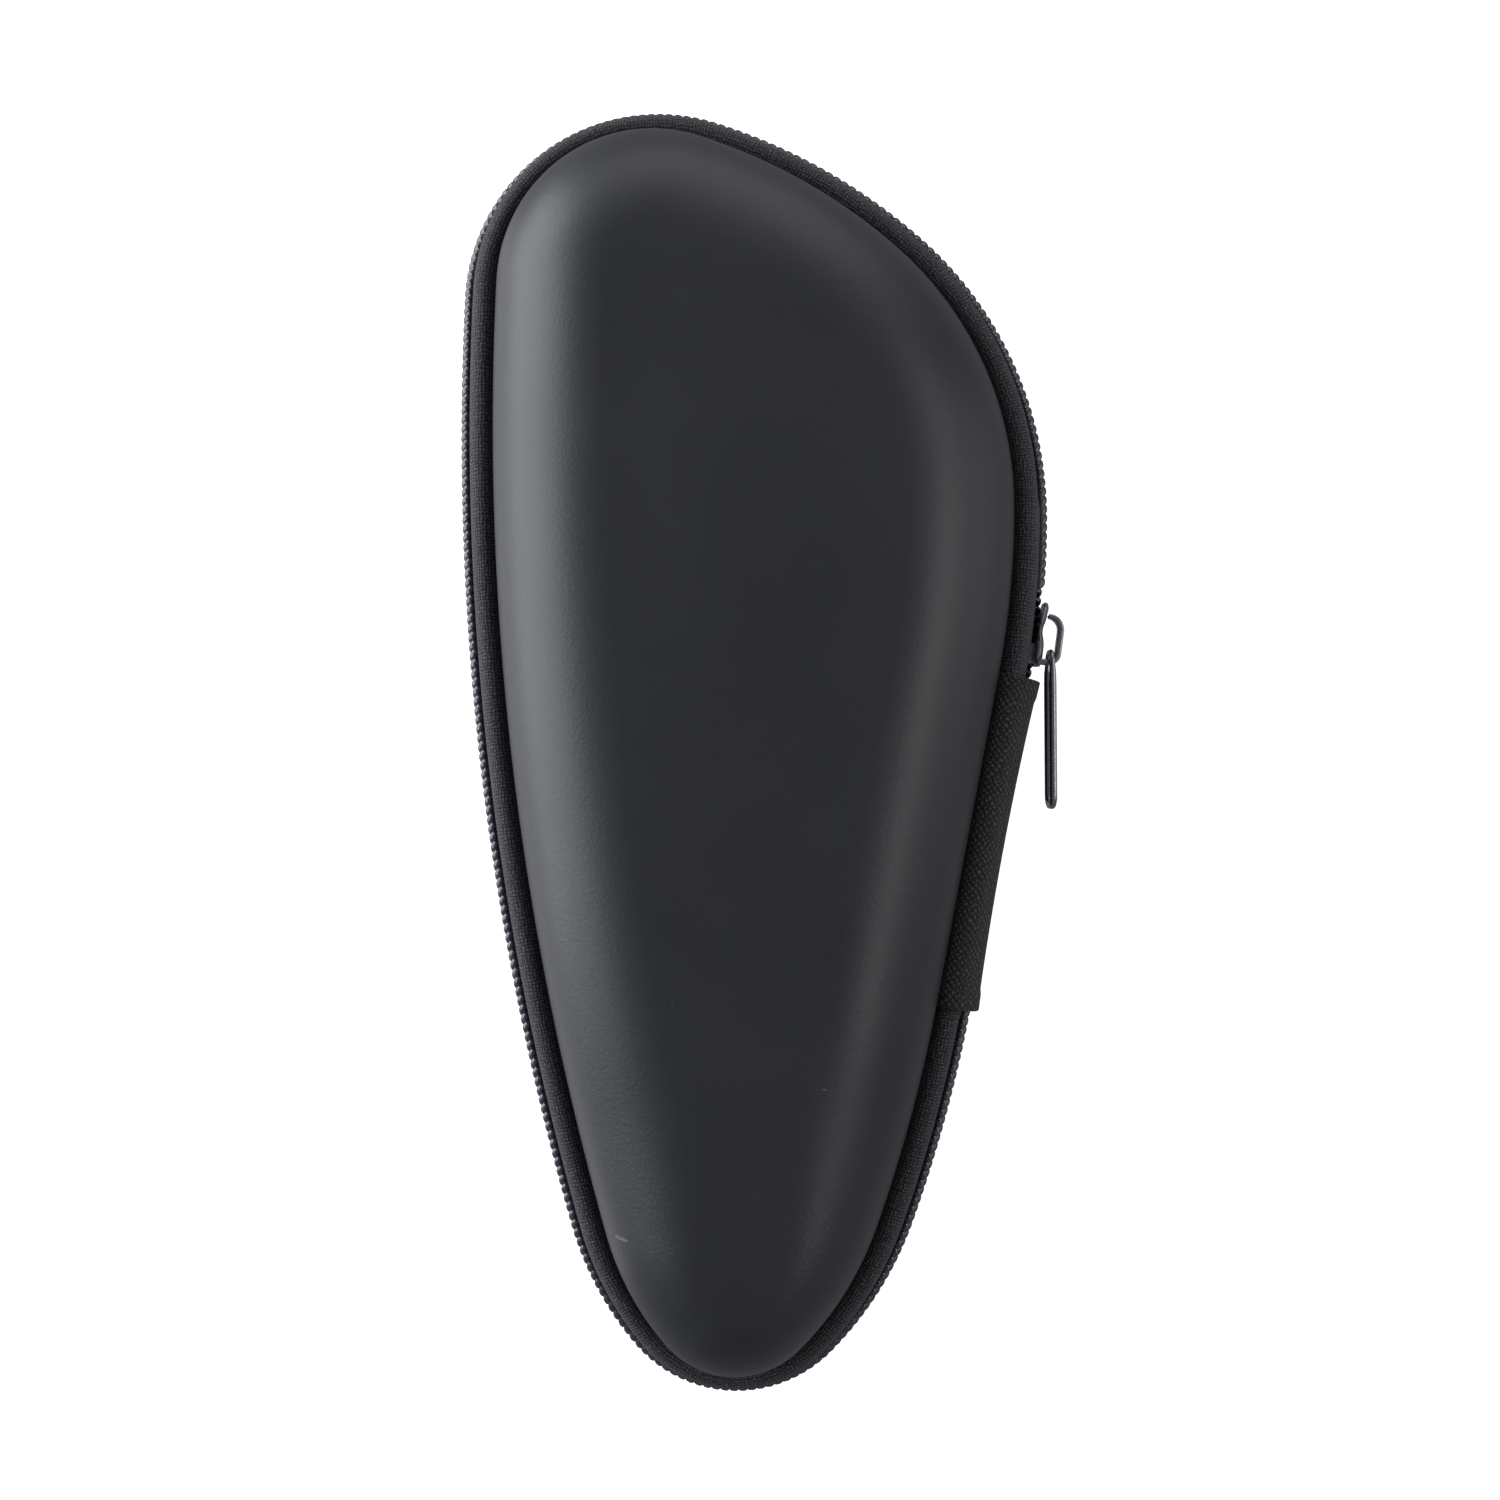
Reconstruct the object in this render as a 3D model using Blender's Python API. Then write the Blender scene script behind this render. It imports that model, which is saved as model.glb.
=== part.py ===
"""Zippered hard case: two moulded foam shells, closed by a coil zip and joined by a fabric hinge.

The case lies on its back shell. +Z is up through the front shell, +Y runs to the wide end and
-Y to the rounded tip. The origin is on the flat of the back shell, under the middle of the outline.
"""

from collections import namedtuple
from math import cos, radians, sin

import bmesh
import bpy
from mathutils import Matrix, Vector

MM = 0.001

# The plan outline, walked counter-clockwise from the tip. Each stretch turns the outward normal from
# `start` to `end` degrees round an arc, and a stretch that doesn't turn is straight for `length`.
# A radius of None is worked out, so that the outline closes on itself.
Stretch = namedtuple("Stretch", "name start end radius pieces length", defaults=(0.0,))
HINGE_NORMAL = -11.0
HINGE_LENGTH = 55.5 * MM
TRACK_RADIUS = 150.0 * MM
LOW_RADIUS = 240.0 * MM
OUTLINE = (
    Stretch("tip", -139.5, -45.3, 22.6 * MM, 9),
    Stretch("right_foot", -45.3, -20.0, 58.8 * MM, 3),
    Stretch("right_low", -20.0, -11.4, LOW_RADIUS, 2),
    Stretch("below_hinge", -11.4, HINGE_NORMAL, LOW_RADIUS, 1),
    Stretch("hinge", HINGE_NORMAL, HINGE_NORMAL, 0.0, 3, HINGE_LENGTH),
    Stretch("above_hinge", HINGE_NORMAL, -10.6, TRACK_RADIUS, 1),
    Stretch("slider_park", -10.6, -5.4, TRACK_RADIUS, 3),
    Stretch("chain_start", -5.4, -5.0, TRACK_RADIUS, 1),
    Stretch("track", -5.0, 0.0, TRACK_RADIUS, 2),
    Stretch("shoulder", 0.0, 48.0, 63.0 * MM, 5),
    Stretch("slope", 48.0, 72.0, None, 4),
    Stretch("crown", 72.0, 177.0, 32.9 * MM, 10),
    Stretch("left_side", 177.0, 195.7, None, 7),
    Stretch("left_foot", 195.7, 220.5, 53.1 * MM, 3),
)

# Cross-section of a half, as inset from the outline and height from the zip's middle plane. The wall
# is a quarter of an ellipse from the crease to the flat face, and it is shorter round the tip.
HALF_DEPTH = 31.0 * MM
WALL_INSET = 7.0 * MM
WALL_FOOT = 10.0 * MM
WALL_REACH = 20.4 * MM
TIP_REACH = 14.0 * MM
TIP_BLEND_START = -98.0 * MM
TIP_BLEND_END = -58.0 * MM
WALL_STEPS = 4
FLANGE_INSET = 6.6 * MM
FLANGE_EDGE = 5.2 * MM
FLANGE_REACH = 3.0 * MM
FLANGE_RISE = 4.6 * MM
FLANGE_STEPS = 2

# The layers of a shell, as depths below its outer surface.
GAP = 0.3 * MM
SKIN_THICKNESS = 0.8 * MM
CORE_OUTSIDE = SKIN_THICKNESS + GAP
CORE_INSIDE = CORE_OUTSIDE + 2.9 * MM
LINING_OUTSIDE = CORE_INSIDE + 0.4 * MM
LINING_INSIDE = LINING_OUTSIDE + 0.8 * MM
LINING_EDGE = 8.4 * MM

# The zip: tapes that wrap over the flanges, and two rows of coil that face each other.
TAPE_THICKNESS = 1.0 * MM
TAPE_EDGE = 3.2 * MM
TAPE_EDGE_AT_HINGE = 6.0 * MM
TAPE_KNEE = 0.15 * MM
TAPE_TURNS = (12.0, 40.0, 66.0, 88.0)
COIL_HALF_GAP = 0.5 * MM
COIL_TOP = 2.7 * MM
COIL_DEPTH = 2.2 * MM

# The binding inside the case: it stands off the foam and runs from the flange's edge to the wall's foot.
BINDING_THICKNESS = 0.8 * MM
BINDING_CLEARANCE = 0.45 * MM
BINDING_TOP_INSET = 2.0 * MM
BINDING_TOP_DROP = 2.4 * MM

# The slider, in its own frame: x out of the case, y along the track to the closed chain, z up.
SLIDER_ANGLE = -7.95
SLIDER_LENGTH = 10.8 * MM
SLIDER_HALF_WIDTH = 4.1 * MM
SLIDER_LIP = 0.75 * MM
OUTER_PLATE_TOP = 1.3 * MM
OUTER_PLATE_UNDER = 0.4 * MM
OUTER_LIP = -0.35 * MM
INNER_PLATE_BACK = -3.6 * MM
INNER_PLATE_FACE = -2.5 * MM
INNER_HALF_WIDTH = 2.85 * MM
POST_HALF_WIDTH = 0.25 * MM
POST_LENGTH = 3.4 * MM
POST_SETBACK = 0.4 * MM
WELD_OVERLAP = 0.3 * MM
MOUTH_TAPER = 0.97

# The hook on the slider and the wire loop that hangs from it.
BAIL_WIDTH = 2.6 * MM
BAIL_THICKNESS = 1.0 * MM
BAIL_FOOT_Y = -4.5 * MM
BAIL_TIP_Y = 3.3 * MM
BAIL_REACH = 4.7 * MM
BAIL_TIP_X = 2.3 * MM
BAIL_BEND = 1.9 * MM
BEND_STEPS = 4
WIRE_RADIUS = 0.75 * MM
LOOP_LENGTH = 27.6 * MM
LOOP_WIDTH = 6.6 * MM
LOOP_CORNER = 1.9 * MM
WIRE_SIDES = 8
LOOP_BAR = Vector((2.4 * MM, -2.6 * MM, 0.0))

# The hinge: an outer strap and an inner strip across the two halves.
STRAP_INNER = 0.35 * MM
STRAP_THICKNESS = 0.8 * MM
STRAP_HALF_HEIGHT = 9.5 * MM
HINGE_AXIS_OUT = 2.5 * MM
STRIP_INSET = 3.6 * MM
STRIP_THICKNESS = 0.7 * MM
STRIP_HALF_HEIGHT = 4.7 * MM
STRIP_END_GAP = 1.0 * MM

BLACK = (0.012, 0.012, 0.014)
MATERIALS = {
    "shell_leather": (BLACK, 0.45, 0.0),
    "foam": ((0.03, 0.03, 0.035), 0.9, 0.0),
    "lining": ((0.03, 0.03, 0.034), 0.95, 0.0),
    "tape": ((0.015, 0.015, 0.017), 0.85, 0.0),
    "coil": ((0.03, 0.03, 0.033), 0.4, 0.0),
    "binding": ((0.02, 0.02, 0.022), 0.8, 0.0),
    "dark_metal": ((0.10, 0.10, 0.11), 0.3, 1.0),
}


def direction(degrees):
    """Unit vector in the plan at an angle from +X."""
    return Vector((cos(radians(degrees)), sin(radians(degrees)), 0.0))


def tangent(degrees):
    """Unit vector along the outline, counter-clockwise, where its normal is at an angle from +X."""
    return direction(degrees + 90.0)


def closing_radii(stretches):
    """Fill in the two open radii, so that the stretches end where they begin."""
    drift = Vector((0.0, 0.0))
    open_chords = []
    for stretch in stretches:
        chord = (direction(stretch.end) - direction(stretch.start)).to_2d()
        if stretch.radius is None:
            open_chords.append(chord)
        else:
            drift += stretch.radius * chord + stretch.length * tangent(stretch.start).to_2d()
    first, second = open_chords
    size = first.cross(second)
    solved = [second.cross(drift) / size, -first.cross(drift) / size]
    return [s._replace(radius=solved.pop(0)) if s.radius is None else s for s in stretches]


def walk_outline():
    """Sample points, outward normals and the first sample of each named stretch, centred on the origin."""
    points = []
    normals = []
    first_sample = {}
    corner = Vector((0.0, 0.0, 0.0))
    for stretch in closing_radii(OUTLINE):
        first_sample[stretch.name] = len(points)
        centre = corner - stretch.radius * direction(stretch.start)
        along = tangent(stretch.start)
        for step in range(stretch.pieces):
            share = step / stretch.pieces
            normal = direction(stretch.start + share * (stretch.end - stretch.start))
            straight = share * stretch.length * along
            points.append(centre + stretch.radius * normal + straight)
            normals.append(normal)
        corner = centre + stretch.radius * direction(stretch.end) + stretch.length * along
    middle = Vector((
        (min(p.x for p in points) + max(p.x for p in points)) / 2,
        (min(p.y for p in points) + max(p.y for p in points)) / 2,
        0.0,
    ))
    return [p - middle for p in points], normals, first_sample


POINTS, NORMALS, FIRST = walk_outline()
COUNT = len(POINTS)


def wall_reach(index):
    """How far the wall and its rounded corner reach in from the crease, at a sample."""
    share = (POINTS[index].y - TIP_BLEND_START) / (TIP_BLEND_END - TIP_BLEND_START)
    share = min(max(share, 0.0), 1.0)
    return TIP_REACH + (WALL_REACH - TIP_REACH) * share * share * (3.0 - 2.0 * share)


def place(index, inset, height, side):
    """World position at a sample, moved in by `inset` and up or down from the zip's middle plane."""
    point = POINTS[index] - inset * NORMALS[index]
    point.z = HALF_DEPTH + side * height
    return point


def wall_profile(index, depth):
    """The wall of a half, from the crease to the edge of its flat face, `depth` under its surface."""
    full = wall_reach(index)
    reach = full - depth
    rise = HALF_DEPTH - WALL_FOOT - depth
    turns = [radians(90.0 * step / WALL_STEPS) for step in range(WALL_STEPS + 1)]
    return [(WALL_INSET + full - reach * cos(t), WALL_FOOT + rise * sin(t)) for t in turns]


def flange_profile(depth):
    """The rounded flange of a half, from its edge up to the crease, `depth` under its surface."""
    turns = [radians(90.0 * step / FLANGE_STEPS) for step in range(FLANGE_STEPS + 1)]
    reach = FLANGE_REACH - depth
    rise = FLANGE_RISE - depth
    return [(FLANGE_INSET - reach * cos(t), FLANGE_EDGE + rise * sin(t)) for t in turns]


def skin_profile(index, depth):
    """The flange and wall together, from the flange's edge to the face."""
    return flange_profile(depth) + wall_profile(index, depth)


def core_inside(index):
    """The inner side of the foam, from the flange's edge straight to the wall."""
    return flange_profile(CORE_INSIDE)[:1] + wall_profile(index, CORE_INSIDE)


def lining_profile(index, depth):
    """The lining's wall, which starts a little below the wall's foot."""
    profile = wall_profile(index, depth)
    profile[0] = (profile[0][0], LINING_EDGE)
    return profile


def material(name):
    """The named Principled material, made once."""
    if name in bpy.data.materials:
        return bpy.data.materials[name]
    colour, roughness, metallic = MATERIALS[name]
    made = bpy.data.materials.new(name)
    made.use_nodes = True
    shader = made.node_tree.nodes["Principled BSDF"]
    shader.inputs["Base Color"].default_value = (*colour, 1.0)
    shader.inputs["Roughness"].default_value = roughness
    shader.inputs["Metallic"].default_value = metallic
    return made


def add_object(name, mesh_builder, material_name, parent=None, matrix=None):
    """Turn a bmesh into a named object, closed and facing out, under its parent empty."""
    bmesh.ops.recalc_face_normals(mesh_builder, faces=mesh_builder.faces)
    mesh = bpy.data.meshes.new(name)
    mesh_builder.to_mesh(mesh)
    mesh_builder.free()
    mesh.materials.append(material(material_name))
    mesh.shade_smooth()
    mesh.set_sharp_from_angle(angle=radians(40.0))
    made = bpy.data.objects.new(name, mesh)
    bpy.context.collection.objects.link(made)
    world = matrix or Matrix.Identity(4)
    if parent:
        made.parent = parent
        made.matrix_parent_inverse = Matrix.Identity(4)
        made.matrix_local = parent.matrix_world.inverted() @ world
    else:
        made.matrix_world = world
    return made


def add_empty(name, matrix, parent=None):
    """An empty on a joint's axis, which carries the pieces that move with the joint."""
    empty = bpy.data.objects.new(name, None)
    bpy.context.collection.objects.link(empty)
    empty.empty_display_size = 0.01
    if parent:
        empty.parent = parent
        empty.matrix_local = parent.matrix_world.inverted() @ matrix
    else:
        empty.matrix_world = matrix
    bpy.context.view_layer.update()
    return empty


def dish(name, outer, inner, side, material_name, parent):
    """A thin bowl over the whole outline, between the profiles that `outer` and `inner` give.

    Both sides are split along the same diagonals, so that nested bowls keep their gap everywhere.
    """
    bm = bmesh.new()
    columns = []
    for i in range(COUNT):
        section = list(reversed(outer(i))) + list(inner(i))
        columns.append([bm.verts.new(place(i, e, h, side)) for e, h in section])
    edge = len(outer(0)) - 1
    for here, there in zip(columns, columns[1:] + columns[:1]):
        for k in range(len(here) - 1):
            corners = (here[k], there[k], there[k + 1], here[k + 1])
            shift = 0 if k < edge else 1
            first, second, third, fourth = corners[shift:] + corners[:shift]
            bm.faces.new((first, second, third))
            bm.faces.new((first, third, fourth))
    bm.faces.new([column[0] for column in columns])
    bm.faces.new([column[-1] for column in columns])
    return add_object(name, bm, material_name, parent)


def band(name, section, side, material_name, parent, start=None, end=None):
    """A bar swept round the outline. `section` gives its corners at a sample.

    Without `start` and `end` it is a closed ring. With them it runs from one sample to the other.
    """
    bm = bmesh.new()
    closed = start is None
    samples = list(range(COUNT)) if closed else [i % COUNT for i in range(start, end + 1)]
    rings = [[bm.verts.new(place(i, e, h, side)) for e, h in section(i)] for i in samples]
    pairs = list(zip(rings, rings[1:]))
    if closed:
        pairs.append((rings[-1], rings[0]))
    corners = len(rings[0])
    for here, there in pairs:
        for c in range(corners):
            d = (c + 1) % corners
            bm.faces.new((here[c], here[d], there[d], there[c]))
    if not closed:
        bm.faces.new(rings[0])
        bm.faces.new(rings[-1])
    return add_object(name, bm, material_name, parent)


def shell_half(prefix, side, parent):
    """The moulded skin, the foam under it and the lining of one half."""
    dish(
        prefix + "_shell_skin", lambda i: skin_profile(i, 0.0), lambda i: skin_profile(i, SKIN_THICKNESS),
        side, "shell_leather", parent,
    )
    dish(prefix + "_shell_core", lambda i: skin_profile(i, CORE_OUTSIDE), core_inside, side, "foam", parent)
    dish(
        prefix + "_lining", lambda i: lining_profile(i, LINING_OUTSIDE),
        lambda i: lining_profile(i, LINING_INSIDE), side, "lining", parent,
    )


def tape_edge(index, high_from, high_to):
    """Height of a tape's free edge: beside the coil, or higher where nothing is zipped."""
    return TAPE_EDGE_AT_HINGE if high_from <= index <= high_to else TAPE_EDGE


def zip_half(prefix, side, coil_start, high_to, parent):
    """The woven tape over the flange of one half, and its row of coil."""
    outer_reach = FLANGE_REACH + GAP + TAPE_THICKNESS
    outer_rise = FLANGE_RISE + GAP + TAPE_THICKNESS

    def tape_section(index):
        edge = tape_edge(index, FIRST["hinge"], high_to)
        knee = edge + TAPE_KNEE
        turns = [radians(degrees) for degrees in TAPE_TURNS]
        arcs = []
        for trim in (0.0, TAPE_THICKNESS):
            reach = outer_reach - trim
            rise = outer_rise - trim
            arc = [(FLANGE_INSET - reach * cos(t), FLANGE_EDGE + rise * sin(t)) for t in turns]
            arcs.append([(FLANGE_INSET - reach, edge), (FLANGE_INSET - reach, knee)] + arc)
        return arcs[0] + list(reversed(arcs[1]))

    def coil_section(_index):
        return [(0.0, COIL_HALF_GAP), (0.0, COIL_TOP), (COIL_DEPTH, COIL_TOP), (COIL_DEPTH, COIL_HALF_GAP)]

    band(prefix + "_zip_tape", tape_section, side, "tape", parent)
    band(prefix + "_zip_coil", coil_section, side, "coil", parent, coil_start, COUNT + FIRST["hinge"])


def inner_binding(prefix, side, parent):
    """The tape that hides the raw edge of the lining, inside the case."""
    core_inset, core_height = flange_profile(CORE_INSIDE)[0]
    low = Vector((core_inset + BINDING_CLEARANCE, core_height - BINDING_CLEARANCE))
    top = Vector((
        WALL_INSET + CORE_INSIDE + BINDING_CLEARANCE - BINDING_TOP_INSET,
        WALL_FOOT - BINDING_CLEARANCE - BINDING_TOP_DROP,
    ))
    run = (top - low).normalized()
    across = BINDING_THICKNESS * Vector((run.y, -run.x))

    def section(_index):
        return [low, top, top + across, low + across]

    band(prefix + "_inner_binding", section, side, "binding", parent)


def box(bm, x_range, y_range, z_range):
    """A cuboid from its ranges along x, y and z."""
    corners = [(x, y, z) for x in x_range for y in y_range for z in z_range]
    v = [bm.verts.new(corner) for corner in corners]
    for face in ((0, 1, 3, 2), (4, 6, 7, 5), (0, 4, 5, 1), (2, 3, 7, 6), (0, 2, 6, 4), (1, 5, 7, 3)):
        bm.faces.new([v[i] for i in face])


def outer_plate(bm):
    """The slider's outer plate, with a lip down each side of the coil, as a bar along the track."""
    wide = SLIDER_HALF_WIDTH
    narrow = SLIDER_HALF_WIDTH - SLIDER_LIP
    outline = [
        (OUTER_PLATE_TOP, -wide), (OUTER_PLATE_TOP, wide), (OUTER_LIP, wide), (OUTER_LIP, narrow),
        (OUTER_PLATE_UNDER, narrow), (OUTER_PLATE_UNDER, -narrow), (OUTER_LIP, -narrow), (OUTER_LIP, -wide),
    ]
    ends = []
    for y in (-SLIDER_LENGTH / 2, SLIDER_LENGTH / 2):
        taper = 1.0 if y < 0 else MOUTH_TAPER
        ends.append([bm.verts.new((x, y, z * taper)) for x, z in outline])
    for c in range(len(outline)):
        d = (c + 1) % len(outline)
        bm.faces.new((ends[0][c], ends[0][d], ends[1][d], ends[1][c]))
    bm.faces.new(ends[0])
    bm.faces.new(ends[1])


def unite(target, others):
    """Unite solids with the target and drop the extra objects."""
    for other in others:
        union = target.modifiers.new(other.name, "BOOLEAN")
        union.operation = "UNION"
        union.object = other
    bpy.context.view_layer.update()
    graph = bpy.context.evaluated_depsgraph_get()
    united = bpy.data.meshes.new_from_object(target.evaluated_get(graph))
    target.modifiers.clear()
    target.data = united
    for other in others:
        bpy.data.objects.remove(other)


def slider_body(frame, parent):
    """Two plates, outside and inside the coil, and the post that joins them."""
    outer = bmesh.new()
    outer_plate(outer)
    body = add_object("slider_body", outer, "dark_metal", parent, frame)
    inner = bmesh.new()
    half_length = SLIDER_LENGTH / 2
    plate_depths = (INNER_PLATE_BACK, INNER_PLATE_FACE)
    box(inner, plate_depths, (-half_length, half_length), (-INNER_HALF_WIDTH, INNER_HALF_WIDTH))
    inner_plate = add_object("inner_plate", inner, "dark_metal", parent, frame)
    post = bmesh.new()
    foot = -SLIDER_LENGTH / 2 + POST_SETBACK
    post_depths = (INNER_PLATE_FACE - WELD_OVERLAP, OUTER_PLATE_UNDER + WELD_OVERLAP)
    box(post, post_depths, (foot, foot + POST_LENGTH), (-POST_HALF_WIDTH, POST_HALF_WIDTH))
    bridge = add_object("post", post, "dark_metal", parent, frame)
    unite(body, [inner_plate, bridge])


def slider_bail(frame, parent):
    """The open hook on the slider: a flat strip bent out, along and back in to a free tip."""
    bm = bmesh.new()
    bend_x = BAIL_REACH - BAIL_THICKNESS / 2 - BAIL_BEND
    lower_bend = Vector((bend_x, BAIL_FOOT_Y + BAIL_BEND))
    upper_bend = Vector((bend_x, BAIL_TIP_Y - BAIL_BEND))
    centre_line = [Vector((OUTER_PLATE_TOP + GAP, BAIL_FOOT_Y))]
    for middle, first_turn in ((lower_bend, -90.0), (upper_bend, 0.0)):
        turns = [first_turn + 90.0 * step / BEND_STEPS for step in range(BEND_STEPS + 1)]
        centre_line += [middle + BAIL_BEND * direction(turn).to_2d() for turn in turns]
    centre_line.append(Vector((BAIL_TIP_X, BAIL_TIP_Y)))
    left = []
    right = []
    for n, point in enumerate(centre_line):
        ahead = centre_line[min(n + 1, len(centre_line) - 1)]
        behind = centre_line[max(n - 1, 0)]
        run = (ahead - behind).normalized()
        across = Vector((run.y, -run.x)) * BAIL_THICKNESS / 2
        left.append(point + across)
        right.append(point - across)
    outline = left + list(reversed(right))
    sides = [[bm.verts.new((p.x, p.y, z)) for p in outline] for z in (-BAIL_WIDTH / 2, BAIL_WIDTH / 2)]
    for c in range(len(outline)):
        d = (c + 1) % len(outline)
        bm.faces.new((sides[0][c], sides[0][d], sides[1][d], sides[1][c]))
    bm.faces.new(sides[0])
    bm.faces.new(sides[1])
    add_object("slider_bail", bm, "dark_metal", parent, frame)


def pull_loop(frame, parent):
    """A closed wire loop with round ends. Its top bar is at the frame's origin, its length along -Y."""
    bm = bmesh.new()
    wide = LOOP_WIDTH / 2 - WIRE_RADIUS - LOOP_CORNER
    top = -LOOP_CORNER
    bottom = LOOP_CORNER + 2 * WIRE_RADIUS - LOOP_LENGTH
    path = []
    for z, y, start in ((wide, top, 0.0), (-wide, top, 90.0), (-wide, bottom, 180.0), (wide, bottom, 270.0)):
        for step in range(BEND_STEPS + 1):
            angle = radians(start + 90.0 * step / BEND_STEPS)
            path.append(Vector((0.0, y + LOOP_CORNER * sin(angle), z + LOOP_CORNER * cos(angle))))
    rings = []
    for n, point in enumerate(path):
        run = (path[(n + 1) % len(path)] - path[n - 1]).normalized()
        out = Vector((1.0, 0.0, 0.0))
        across = run.cross(out)
        turns = [radians(360.0 * s / WIRE_SIDES) for s in range(WIRE_SIDES)]
        rings.append([bm.verts.new(point + WIRE_RADIUS * (cos(t) * out + sin(t) * across)) for t in turns])
    for n, here in enumerate(rings):
        there = rings[(n + 1) % len(rings)]
        for s in range(WIRE_SIDES):
            after = (s + 1) % WIRE_SIDES
            bm.faces.new((here[s], here[after], there[after], there[s]))
    add_object("pull_loop", bm, "dark_metal", parent, frame)


def local_frame(origin, degrees):
    """A frame with x along the outline's outward normal, y along the outline and z up."""
    return Matrix.Translation(origin) @ Matrix.Rotation(radians(degrees), 4, "Z")


def hinge_piece(name, depth_range, half_height, end_gap, material_name):
    """A flat strip along the straight stretch, across both halves."""
    foot = POINTS[FIRST["hinge"]] + Vector((0.0, 0.0, HALF_DEPTH))
    frame = local_frame(foot, HINGE_NORMAL)
    bm = bmesh.new()
    box(bm, depth_range, (end_gap, HINGE_LENGTH - end_gap), (-half_height, half_height))
    add_object(name, bm, material_name, None, frame)


def build():
    """Model the closed case, with the slider parked above the hinge."""
    for old in list(bpy.data.objects):
        bpy.data.objects.remove(old)

    hinge_out = NORMALS[FIRST["hinge"]]
    hinge_middle = (POINTS[FIRST["hinge"]] + POINTS[FIRST["above_hinge"]]) / 2
    axis_point = hinge_middle + HINGE_AXIS_OUT * hinge_out + Vector((0.0, 0.0, HALF_DEPTH))
    lid = add_empty("lid_hinge", Matrix.Translation(axis_point))

    shell_half("back", -1, None)
    shell_half("front", 1, lid)
    zip_half("back", -1, FIRST["above_hinge"], FIRST["above_hinge"], None)
    zip_half("front", 1, FIRST["chain_start"], FIRST["chain_start"], lid)
    inner_binding("back", -1, None)
    inner_binding("front", 1, lid)

    strap_range = (STRAP_INNER, STRAP_INNER + STRAP_THICKNESS)
    hinge_piece("hinge_fabric", strap_range, STRAP_HALF_HEIGHT, 0.0, "tape")
    strip_range = (-STRIP_INSET, -STRIP_INSET + STRIP_THICKNESS)
    hinge_piece("hinge_lining", strip_range, STRIP_HALF_HEIGHT, STRIP_END_GAP, "binding")

    track = POINTS[FIRST["track"]] - TRACK_RADIUS * NORMALS[FIRST["track"]]
    track.z = HALF_DEPTH
    slider_frame = local_frame(track + TRACK_RADIUS * direction(SLIDER_ANGLE), SLIDER_ANGLE)
    travel = add_empty("slider_travel", Matrix.Translation(track))
    slider_body(slider_frame, travel)
    slider_bail(slider_frame, travel)
    bar = slider_frame @ LOOP_BAR
    flip = add_empty("pull_flip", Matrix.Translation(bar), travel)
    pull_loop(Matrix.Translation(bar), flip)


build()
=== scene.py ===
"""Looks of the zippered hard case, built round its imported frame.

The skins, tapes, linings and bindings follow the same outline and cross-section as the frame's
solids, finely sampled. The zip's coils, the slider, its hook and its wire loop, and the hinge
straps are modelled on top. +Z is up through the front shell, +Y runs to the wide end, and lengths
are in metres.
"""

from collections import namedtuple
from math import cos, pi, radians, sin

import bmesh
import bpy
import numpy as np
from mathutils import Matrix, Vector
from mathutils.geometry import delaunay_2d_cdt


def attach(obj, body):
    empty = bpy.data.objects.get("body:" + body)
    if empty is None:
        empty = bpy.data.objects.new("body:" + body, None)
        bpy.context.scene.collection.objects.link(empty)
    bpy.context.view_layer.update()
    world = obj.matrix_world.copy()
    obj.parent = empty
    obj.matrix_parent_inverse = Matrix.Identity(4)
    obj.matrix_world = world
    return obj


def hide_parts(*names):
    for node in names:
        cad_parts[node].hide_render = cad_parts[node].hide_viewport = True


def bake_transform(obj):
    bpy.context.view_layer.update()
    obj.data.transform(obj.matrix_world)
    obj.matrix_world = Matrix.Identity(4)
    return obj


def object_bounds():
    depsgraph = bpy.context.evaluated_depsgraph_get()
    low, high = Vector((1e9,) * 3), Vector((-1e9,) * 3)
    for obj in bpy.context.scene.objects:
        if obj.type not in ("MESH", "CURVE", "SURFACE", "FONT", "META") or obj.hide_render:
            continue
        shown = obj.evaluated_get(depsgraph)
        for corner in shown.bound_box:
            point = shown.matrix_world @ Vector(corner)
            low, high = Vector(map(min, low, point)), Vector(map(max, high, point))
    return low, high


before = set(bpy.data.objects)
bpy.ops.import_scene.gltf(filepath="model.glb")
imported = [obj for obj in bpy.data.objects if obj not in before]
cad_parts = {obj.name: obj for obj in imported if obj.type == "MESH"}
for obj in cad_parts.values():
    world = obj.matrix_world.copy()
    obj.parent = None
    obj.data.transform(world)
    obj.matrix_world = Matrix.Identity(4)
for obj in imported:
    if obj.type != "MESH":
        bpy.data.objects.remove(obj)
CAD_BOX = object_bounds()

MM = 0.001

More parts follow.
